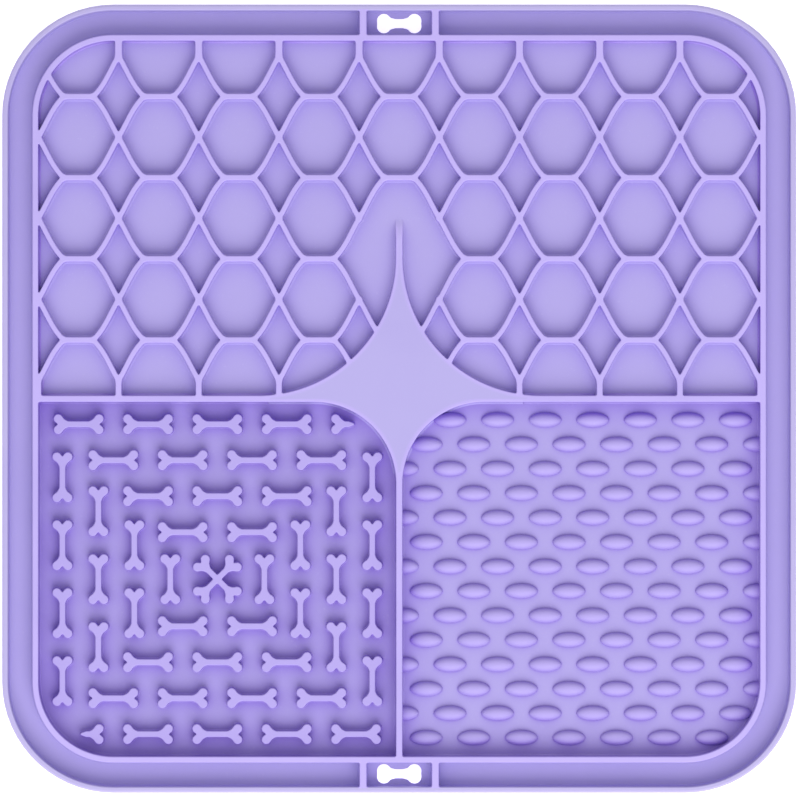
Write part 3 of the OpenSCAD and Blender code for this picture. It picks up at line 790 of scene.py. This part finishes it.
def wire(tree, node, inputs):
    """Set a node's inputs to values or to the outputs of other nodes"""
    for key, value in inputs.items():
        if hasattr(value, "links"):
            tree.links.new(value, node.inputs[key])
        elif value is not None:
            node.inputs[key].default_value = value
    return node


def add_node(tree, kind, inputs, **settings):
    """A new node with its settings and inputs"""
    node = tree.nodes.new("ShaderNode" + kind)
    for key, value in settings.items():
        setattr(node, key, value)
    return wire(tree, node, inputs)


def new_material(name):
    """A material, its node tree and its shader"""
    material = bpy.data.materials.new(name)
    material.use_nodes = True
    return material, material.node_tree, material.node_tree.nodes["Principled BSDF"]


class LICKMAT_OT_finish(bpy.types.Operator):
    """Make the lilac silicone, with painted shade and painted light in its tints"""

    bl_idname = "lickmat.finish"
    bl_label = "Silicone"

    def execute(self, context):
        scene = context.scene
        look, sheet, comb = scene.lick_mat_look, scene.lick_mat_sheet, scene.lick_mat_honeycomb
        self.corner_middle = (sheet.width / 2 - sheet.corner, sheet.depth / 2 - sheet.corner, 0.0)
        self.wall_radius = sheet.corner - sheet.rim - sheet.gutter - sheet.inner_wall / 2
        self.star_edges = [((half + radius, sheet.divider / 2 + radius, 0.0), radius)
                           for half, radius in ((comb.spike / 2, comb.star), (sheet.divider / 2, comb.pocket))]
        floor, cells = sheet.floor, sheet.floor + comb.raised
        for name, tint, painted_shade, *rest in (
                ("", look.flat_colour, look.depth),
                ("_sheet", look.sheet_colour, look.depth),
                ("_cells", look.cell_colour, look.cell_depth),
                ("_walls", look.wall_colour, look.depth, floor),
                ("_ribs", look.wall_colour, look.cell_depth, cells, look.cell_colour),
                ("_star", look.flat_colour, look.cell_depth, cells, look.cell_colour),
                ("_studs", look.stud_colour, look.depth, floor),
                ("_rim", look.rim_colour, look.depth, floor)):
            self.silicone(look, "lilac_silicone" + name, tint, painted_shade, *rest)
        return {"FINISHED"}

    def silicone(self, look, name, tint, painted_shade_share, foot=None, foot_colour=None):
        """One tint of the silicone, with painted shade where the mat closes in, mottling, specks and a fine grain; it
        starts from the floor's at its foot
        """
        _, tree, shader = new_material(name)
        place = add_node(tree, "TexCoord", {}).outputs["Object"]

        def noise(scale, detail, roughness):
            return add_node(tree, "TexNoise", {"Scale": scale, "Detail": detail, "Roughness": roughness,
                                               "Vector": place}).outputs["Fac"]

        def spread(source, low, high, to_low, to_high, kind="SMOOTHSTEP"):
            return add_node(tree, "MapRange", {"From Min": low, "From Max": high, "To Min": to_low, "To Max": to_high,
                                               "Value": source}, interpolation_type=kind).outputs["Result"]

        def mix(factor, a, b):
            return add_node(tree, "Mix", {"Factor": factor, "A": a, "B": b}, data_type="RGBA").outputs["Result"]

        def distance(middle, side):
            """Plan distance to the four mirrored middles, on one side of each"""
            result = place
            for step, value in (("MULTIPLY", (1.0, 1.0, 0.0)), ("ABSOLUTE", None), ("SUBTRACT", middle),
                                (side, (0.0, 0.0, 0.0)), ("LENGTH", None)):
                node = add_node(tree, "VectorMath", {0: result, 1: value}, operation=step)
                result = node.outputs["Value" if step == "LENGTH" else "Vector"]
            return result

        # Painted shade: ambient occlusion near walls mixes in the painted shade colour, with less of it outside the
        # inner wall
        painted_shade_ao = add_node(tree, "AmbientOcclusion", {"Distance": look.reach}, samples=8).outputs["AO"]
        outside = spread(distance(self.corner_middle, "MAXIMUM"), self.wall_radius - TURN_AT_WALL,
                         self.wall_radius + TURN_AT_WALL, 0.0, 1.0)
        # depth is the share of painted shade at each point, from the occlusion and from the place on the mat
        depth = add_node(tree, "Math", {0: spread(painted_shade_ao, 0.35, 1.0, 1.0, 0.0, "LINEAR"),
                                        1: spread(outside, 0.0, 1.0, painted_shade_share, look.gutter_depth, "LINEAR")},
                         operation="MULTIPLY").outputs["Value"]
        # Painted shade and light: the sheet is darker inside the inner wall and lighter in the gutter outside it
        if name.endswith("_sheet"):
            tint = mix(outside, tint, look.gutter_colour)
        if foot is not None:
            axes = add_node(tree, "SeparateXYZ", {"Vector": place}).outputs
            # Painted highlight: a thin lighter line along the star's two curved edges, in the walls' painted light
            # tint
            if name.endswith("_star"):
                upper, lower = (spread(distance(middle, "MINIMUM"), radius + TURN_AT_STAR[0],
                                       radius + TURN_AT_STAR[1], 1.0, 0.0) for middle, radius in self.star_edges)
                edge = mix(spread(axes["Y"], -TURN_AT_AXIS, TURN_AT_AXIS, 0.0, 1.0), lower, upper)
                tint = mix(edge, tint, look.wall_colour)
            # A piece's tint starts from the floor's tint at its foot and turns to its own above it; for walls and
            # ribs this brings in their painted light
            tint = mix(spread(axes["Z"], foot + TURN_AT_FOOT[0], foot + TURN_AT_FOOT[1], 0.0, 1.0),
                       foot_colour or look.sheet_colour, tint)
        painted_shade = mix(depth, tint, look.deep_colour)
        mottled = mix(spread(noise(*CLOUD), 0.42, 0.75, 0.0, 0.25), painted_shade, look.shade_colour)
        dusted = mix(spread(noise(*SPECK), 0.66, 0.78, 0.0, 0.1), mottled, DUST)
        grain = noise(*GRAIN)
        bump = add_node(tree, "Bump", {"Strength": 0.12, "Distance": 0.1 * MM, "Height": grain})
        wire(tree, shader, {"Base Color": dusted, "Normal": bump.outputs["Normal"], "IOR": 1.41,
                            "Roughness": spread(grain, 0.3, 0.7, look.roughness - 0.05, look.roughness + 0.07),
                            "Specular IOR Level": 0.35})


class LICKMAT_OT_sheet(bpy.types.Operator):
    """Add the floor sheet with its two bone-shaped hanging holes"""

    bl_idname = "lickmat.sheet"
    bl_label = "Base Sheet"

    def execute(self, context):
        m = Layout(context.scene)
        hole = stud_loop(bone_shape(m.b_hole, m.b_hole_end, HOLE_SHAFT, HOLE_LOBE, HOLE_FORK, HOLE_ARM), *HOLE_MAP)
        side = [(0.0, 0.0, 1.0, 0.0)] + bottom_edge(-m.sheet, SHEET_EDGE)
        bore = top_edge(0.0, HOLE_EDGE, HOLE_ROWS) + bottom_edge(-m.sheet, HOLE_EDGE, HOLE_ROWS)
        # the outline and both holes have the sheet on their left
        position, faces, normals, tops, bottoms, start = [], [], [], [], [], 0
        for loop, rows in ((outline(m), side), (hole + np.array([0, m.bay_y]), bore),
                           (hole - np.array([0, m.bay_y]), bore)):
            out, n = -away(loop), len(loop)
            slopes = []
            for k, (offset, z, level, upright) in enumerate(rows):
                position.append(np.column_stack([loop + out * offset, np.full(n, z + m.floor)]))
                slopes += [(level * u, level * v, upright) for u, v in out]
                if k:
                    faces += band(start + (k - 1) * n, start + k * n, n)
            normals += [slopes[i - start] for f in faces[-n * (len(rows) - 1):] for i in f]
            tops.append((start, position[-len(rows)][:, :2]))
            start += n * len(rows)
            bottoms.append((start - n, position[-1][:, :2]))
        for rings, up in ((tops, 1), (bottoms, -1)):
            number = np.concatenate([first + np.arange(len(ring)) for first, ring in rings]).tolist()
            for triangle in triangulate([ring for _, ring in rings], (0, 1, 2)).tolist():
                faces.append(tuple(number[i] for i in triangle[::up]))
                normals += [(0, 0, up)] * 3
        new_piece("base_sheet", np.vstack(position), faces, normals, "sheet")
        return {"FINISHED"}


class LICKMAT_OT_walls(bpy.types.Operator):
    """Add the rim, the inner wall, the two dividers and the ribs of the hanging bays"""

    bl_idname = "lickmat.walls"
    bl_label = "Rim and Walls"

    def execute(self, context):
        add_wall_pieces(context, ["outer_rim", "inner_wall", "cross_divider", "lower_divider",
                                  "hanger_ribs_top", "hanger_ribs_bottom"])
        return {"FINISHED"}


class LICKMAT_OT_star(bpy.types.Operator):
    """Add the flat star and its spike"""

    bl_idname = "lickmat.star"
    bl_label = "Star"

    def execute(self, context):
        add_wall_pieces(context, ["centre_star", "star_spike"])
        return {"FINISHED"}


class LICKMAT_OT_honeycomb(bpy.types.Operator):
    """Add the raised floor of the honeycomb and its bars, ribs and stubs"""

    bl_idname = "lickmat.honeycomb"
    bl_label = "Honeycomb"

    def execute(self, context):
        add_wall_pieces(context, RIB_NAMES)
        self.floor(Layout(context.scene))
        return {"FINISHED"}

    def floor(self, m):
        """The raised floor that the cells stand on, run a little way into the walls around it"""
        plan = Plan(m.half_w, m.half_d, FLOOR_STEP, FAR)
        x, y = plan.mesh()
        star = np.maximum(m.divider_gap(x, y), y - m.star_reach)
        plan.d = np.maximum(np.maximum(m.inside(x, y, m.inset), m.half_div - y), -star) - FLOOR_BITE
        loop = fill_in(thin_out(max(contours(plan), key=len), FLOOR_TOLERANCE), lambda p: FLOOR_STRIDE)
        n = len(loop)
        position = np.vstack([np.column_stack([loop, np.full(n, z)]) for z in (m.floor + m.h_raised, m.floor)])
        faces = []
        for a, b, c in triangulate([loop]).tolist():
            faces += [(a, b, c), (n + c, n + b, n + a)]
        faces += [(i, (i + 1) % n, n + (i + 1) % n, n + i) for i in range(n)]
        slab = new_piece("honeycomb_floor", position, faces, None, "cells")
        slab.data.polygons.foreach_set("use_smooth", [False] * len(faces))


class LICKMAT_OT_bones(bpy.types.Operator):
    """Add the bone studs in their square rings and the crossed pair"""

    bl_idname = "lickmat.bones"
    bl_label = "Bone Studs"

    def execute(self, context):
        m = Layout(context.scene)
        form = (m.b_bone_end, m.b_shaft, m.b_lobe, m.b_fork, m.b_arm)
        whole = raise_stud(stud_loop(bone_shape(m.b_bone, *form), *BONE_MAP))
        cuts = {end: raise_stud(stud_loop(bone_shape(m.b_bone, *form, ends=(end,), cut=CUT_LENGTH), *BONE_MAP))
                for end in (-1, 1)}
        long, r = bone_shape(m.b_crossed, *form), math.sqrt(0.5)

        def crossed(x, y):
            return soft_min(long(r * (x + y), r * (y - x)), long(r * (x - y), r * (x + y)), SOFT_LOBE)

        pair = raise_stud(stud_loop(crossed, *PAIR_MAP))
        cx, cy = -m.half_div - m.pocket_w / 2, -m.half_div - m.pocket_d / 2
        last_x, last_y = m.pocket_w / 2 - m.b_side_margin, m.pocket_d / 2 - m.b_ring_margin
        out_x, out_y = (np.linspace(m.b_first_ring, last, BONE_RINGS) for last in (last_x, last_y))
        pitch_x = (2 * (last_x - ROW_TRIM) + m.b_bone_end - m.b_bone) / BONE_RINGS
        pitch_y = m.b_bone + (2 * last_y - m.b_bone_end - BONE_RINGS * m.b_bone) / (BONE_RINGS + 1)
        flat, upright, shortened = [], [], {-1: [], 1: []}
        for ring in range(BONE_RINGS):
            for level in (-1, 1):
                for i in range(ring + 2):
                    # the round corners of the pocket cut two bones of the outermost ring
                    in_corner = ring == BONE_RINGS - 1 and i == (ring + 1 if level > 0 else 0)
                    (shortened[-level] if in_corner else flat).append(
                        (cx + (i - (ring + 1) / 2) * pitch_x, cy + level * out_y[ring], m.floor, 0))
                upright += [(cx + level * out_x[ring], cy + (i - ring / 2) * pitch_y, m.floor, 90)
                            for i in range(ring + 1)]
        level_bones = join([copies(whole, flat)] + [copies(cuts[end], shortened[end]) for end in (-1, 1)])
        for name, solids in (("bone_studs_horizontal", level_bones), ("bone_studs_vertical", copies(whole, upright)),
                             ("crossed_bones", copies(pair, [(cx, cy, m.floor, 0)]))):
            new_piece(name, *solids, "studs")
        return {"FINISHED"}


class LICKMAT_OT_ovals(bpy.types.Operator):
    """Add the oval bumps in their staggered rows"""

    bl_idname = "lickmat.ovals"
    bl_label = "Oval Bumps"

    def execute(self, context):
        m = Layout(context.scene)
        pitch_x = m.pocket_w / (OVALS_IN_ROW + 0.5)
        pitch_y = (m.pocket_d - 2 * m.b_oval_margin) / (OVAL_ROWS - 1)
        half_l, one = m.b_oval / 2, self.oval(m)
        for name, rows in (("upper", range(4)), ("upper_middle", range(4, 7)), ("lower_middle", range(7, 10)),
                           ("lower", range(10, OVAL_ROWS))):
            shell = bmesh.new()
            for row in rows:
                # the star takes the place of the first oval
                for i in range(0 if row else 1, OVALS_IN_ROW + 1):
                    bump = one.copy()
                    centre = Vector((m.half_div + (i + (row % 2) / 2) * pitch_x,
                                     -m.half_div - m.b_oval_margin - row * pitch_y, 0))
                    bmesh.ops.translate(bump, vec=centre, verts=bump.verts)
                    self.trim(bump, m, centre, half_l)
                    if bump.verts:
                        scratch = bpy.data.meshes.new("scratch")
                        bump.to_mesh(scratch)
                        shell.from_mesh(scratch)
                        bpy.data.meshes.remove(scratch)
                    bump.free()
            shell.verts.index_update()
            points = np.array([v.co[:] for v in shell.verts]) + np.array([0, 0, m.floor])
            faces = [tuple(v.index for v in f.verts) for f in shell.faces]
            shell.free()
            piece = new_piece(f"oval_bumps_{name}_rows", points, faces, None, "studs")
            for poly in piece.data.polygons:
                poly.use_smooth = len(poly.vertices) <= 4
        one.free()
        return {"FINISHED"}

    def oval(self, m):
        """One oval dome about the middle of the plan, as a bmesh"""
        def bent(value, power):
            return math.copysign(abs(value) ** power, value)

        bump = bmesh.new()
        turns = [2 * math.pi * k / OVAL_POINTS for k in range(OVAL_POINTS)]
        rim = [(m.b_oval / 2 * bent(math.cos(a), OVAL_FORM[0]), m.b_oval_width / 2 * bent(math.sin(a), OVAL_FORM[1]))
               for a in turns]
        levels = [(1.0, -SINK)] + [(math.cos(a) ** OVAL_CROWN, m.b_oval_height * math.sin(a))
                                   for a in (QUARTER * k / OVAL_LEVELS for k in range(OVAL_LEVELS))]
        rings = [[bump.verts.new((u * scale, v * scale, z)) for u, v in rim] for scale, z in levels]
        tip = bump.verts.new((0, 0, m.b_oval_height))
        for lower, upper in zip(rings[:-1], rings[1:]):
            for k in range(OVAL_POINTS):
                j = (k + 1) % OVAL_POINTS
                bump.faces.new((lower[k], lower[j], upper[j], upper[k]))
        for k in range(OVAL_POINTS):
            bump.faces.new((rings[-1][k], rings[-1][(k + 1) % OVAL_POINTS], tip))
        bump.faces.new(rings[0][::-1])
        return bump

    def trim(self, bump, m, centre, half_l):
        """Cut a bump off a little way inside the wall that it runs into"""
        planes = []
        if centre.x - half_l < m.half_div:
            planes.append((Vector((m.half_div - OVAL_BITE, 0, 0)), Vector((-1, 0, 0))))
        if centre.x + half_l > m.field_x:
            planes.append((Vector((m.field_x + OVAL_BITE, 0, 0)), Vector((1, 0, 0))))
        # the star at the pocket's upper left, and the round corner at its lower right
        radius = m.corner - m.inset
        for side, r, middle in ((-1, m.h_pocket, Vector((m.half_div + m.h_pocket, -m.half_div - m.h_pocket, 0))),
                                (1, radius, Vector((m.field_x - radius, radius - m.field_y, 0)))):
            end = centre + side * Vector((half_l * OVAL_END_X, -OVAL_END_Y, 0)) - middle
            if end.x * side > 0 and end.y * side < 0 and end.length > r:
                out = end.normalized()
                planes.append((middle + out * (r + OVAL_BITE), out))
        for point, out in planes:
            cut = bmesh.ops.bisect_plane(bump, geom=bump.verts[:] + bump.edges[:] + bump.faces[:],
                                         plane_co=point, plane_no=out, clear_outer=True)
            edges = [e for e in cut["geom_cut"] if isinstance(e, bmesh.types.BMEdge)]
            if edges:
                bmesh.ops.edgeloop_fill(bump, edges=edges)


class LICKMAT_OT_cups(bpy.types.Operator):
    """Add the suction cups below the sheet"""

    bl_idname = "lickmat.cups"
    bl_label = "Suction Cups"

    def execute(self, context):
        m = Layout(context.scene)
        h, lip, neck, n = m.b_cup, m.b_cup_radius, m.b_cup_neck, CUP_POINTS
        # radius and height, from the neck's top down to the lip and up the hollow
        rows = [(neck + 0.5, h), (neck + 0.14, h - 0.14), (neck, h - 0.5), (neck + 0.05, h - 0.85),
                (neck + 0.35, h - 1.1), (neck + 1.4, h - 1.55), (neck + 2.8, h - 2.12), (lip - 0.35, 0.74),
                (lip - 0.08, 0.52), (lip, 0.3), (lip - 0.08, 0.09), (lip - 0.3, 0.0), (lip - 0.75, 0.03),
                (lip - 1.4, 0.4), (lip - 2.6, 0.98), (lip - 4.1, 1.44), (lip - 5.8, 1.68)]
        turns = [2 * math.pi * k / n for k in range(n)]
        points = [(r * math.cos(a), r * math.sin(a), z) for r, z in rows for a in turns]
        roof, seat, last = len(points), len(points) + 1, len(points) - n
        points += [(0, 0, CUP_ROOF), (0, 0, h + SINK)]
        faces = [(i + k, i + n + k, i + n + (k + 1) % n, i + (k + 1) % n)
                 for i in range(0, last, n) for k in range(n)]
        for k in range(n):
            j = (k + 1) % n
            faces += [(last + k, roof, last + j), (k, j, seat)]
        cup, reach = (np.array(points), faces, np.empty((0, 3))), CUPS_ACROSS // 2
        steps = range(-reach, reach + 1)
        for name, on_edge in (("suction_cups_outer", True), ("suction_cups_inner", False)):
            places = [(i * m.b_cup_pitch, j * m.b_cup_pitch, 0, 0) for i in steps for j in steps
                      if (max(abs(i), abs(j)) == reach) == on_edge]
            new_piece(name, *copies(cup, places)[:2])
        return {"FINISHED"}


class LICKMAT_OT_stage(bpy.types.Operator):
    """Add the pale floor, the soft lights and the camera straight above"""

    bl_idname = "lickmat.stage"
    bl_label = "Stage"

    def execute(self, context):
        scene, studio = context.scene, context.scene.lick_mat_studio
        mesh, half = bpy.data.meshes.new("backdrop"), BACKDROP_HALF
        mesh.from_pydata([(-half, -half, 0), (half, -half, 0), (half, half, 0), (-half, half, 0)], [], [(0, 1, 2, 3)])
        floor = bpy.data.objects.new("backdrop", mesh)
        scene.collection.objects.link(floor)
        material, tree, shader = new_material("pale_backdrop")
        place = add_node(tree, "TexCoord", {}).outputs["Object"]
        noise = add_node(tree, "TexNoise", {"Scale": 30.0, "Vector": place}).outputs["Fac"]
        tone = add_node(tree, "Mix", {"Factor": noise, "A": studio.floor_colour,
                                      "B": [min(1.0, c + 0.01) for c in studio.floor_colour]}, data_type="RGBA")
        wire(tree, shader, {"Base Color": tone.outputs["Result"], "Roughness": 0.9,
                            "Emission Color": WHITE, "Emission Strength": studio.floor_glow})
        mesh.materials.append(material)

        key = bpy.data.lights.new("key_light", "AREA")
        key.shape = "DISK"
        key.size = LAMP_SIZE
        key.energy = studio.key
        lamp = bpy.data.objects.new("key_light", key)
        lamp.location = LAMP_PLACE
        lamp.rotation_euler = (-lamp.location).to_track_quat("-Z", "Y").to_euler()
        scene.collection.objects.link(lamp)

        world = bpy.data.worlds.new("studio")
        world.use_nodes = True
        wire(world.node_tree, world.node_tree.nodes["Background"], {"Color": WHITE, "Strength": studio.fill})
        scene.world = world
        scene.view_settings.view_transform = "Standard"

        camera = bpy.data.cameras.new("camera")
        top = scene.lick_mat_sheet.floor + scene.lick_mat_sheet.wall
        camera.sensor_width = SENSOR
        camera.lens = SENSOR * (studio.camera_height - top) / studio.view_width
        camera.clip_start, camera.clip_end = 0.1, 20.0
        eye = bpy.data.objects.new("camera", camera)
        eye.location = (EYE_X, EYE_Y, studio.camera_height)
        scene.collection.objects.link(eye)
        scene.camera = eye
        return {"FINISHED"}


class LICKMAT_PT_panel(bpy.types.Panel):
    """Builders and sizes of the lick mat"""

    bl_idname = "LICKMAT_PT_panel"
    bl_label = "Lick Mat"
    bl_space_type = "VIEW_3D"
    bl_region_type = "UI"
    bl_category = "Lick Mat"

    def draw(self, context):
        for operator in OPERATORS:
            self.layout.operator(operator.bl_idname)
        for name in GROUPS:
            group = getattr(context.scene, name)
            column = self.layout.box().column()
            for key in group.__annotations__:
                column.prop(group, key)


GROUPS = {"lick_mat_sheet": LickMatSheetSizes, "lick_mat_honeycomb": LickMatHoneycombSizes,
          "lick_mat_studs": LickMatStudSizes, "lick_mat_look": LickMatLook, "lick_mat_studio": LickMatStudio}
OPERATORS = (LICKMAT_OT_finish, LICKMAT_OT_sheet, LICKMAT_OT_walls, LICKMAT_OT_star, LICKMAT_OT_honeycomb,
             LICKMAT_OT_bones, LICKMAT_OT_ovals, LICKMAT_OT_cups, LICKMAT_OT_stage)


def register():
    for name, group in GROUPS.items():
        bpy.utils.register_class(group)
        setattr(bpy.types.Scene, name, bpy.props.PointerProperty(type=group))
    for cls in OPERATORS + (LICKMAT_PT_panel,):
        bpy.utils.register_class(cls)


def unregister():
    for cls in reversed(OPERATORS + (LICKMAT_PT_panel,)):
        bpy.utils.unregister_class(cls)
    for name, group in reversed(list(GROUPS.items())):
        delattr(bpy.types.Scene, name)
        bpy.utils.unregister_class(group)


def main():
    register()
    bpy.ops.lickmat.finish()
    bpy.ops.lickmat.sheet()
    bpy.ops.lickmat.walls()
    bpy.ops.lickmat.star()
    bpy.ops.lickmat.honeycomb()
    bpy.ops.lickmat.bones()
    bpy.ops.lickmat.ovals()
    bpy.ops.lickmat.cups()
    bpy.ops.lickmat.stage()


if __name__ == "__main__":
    main()
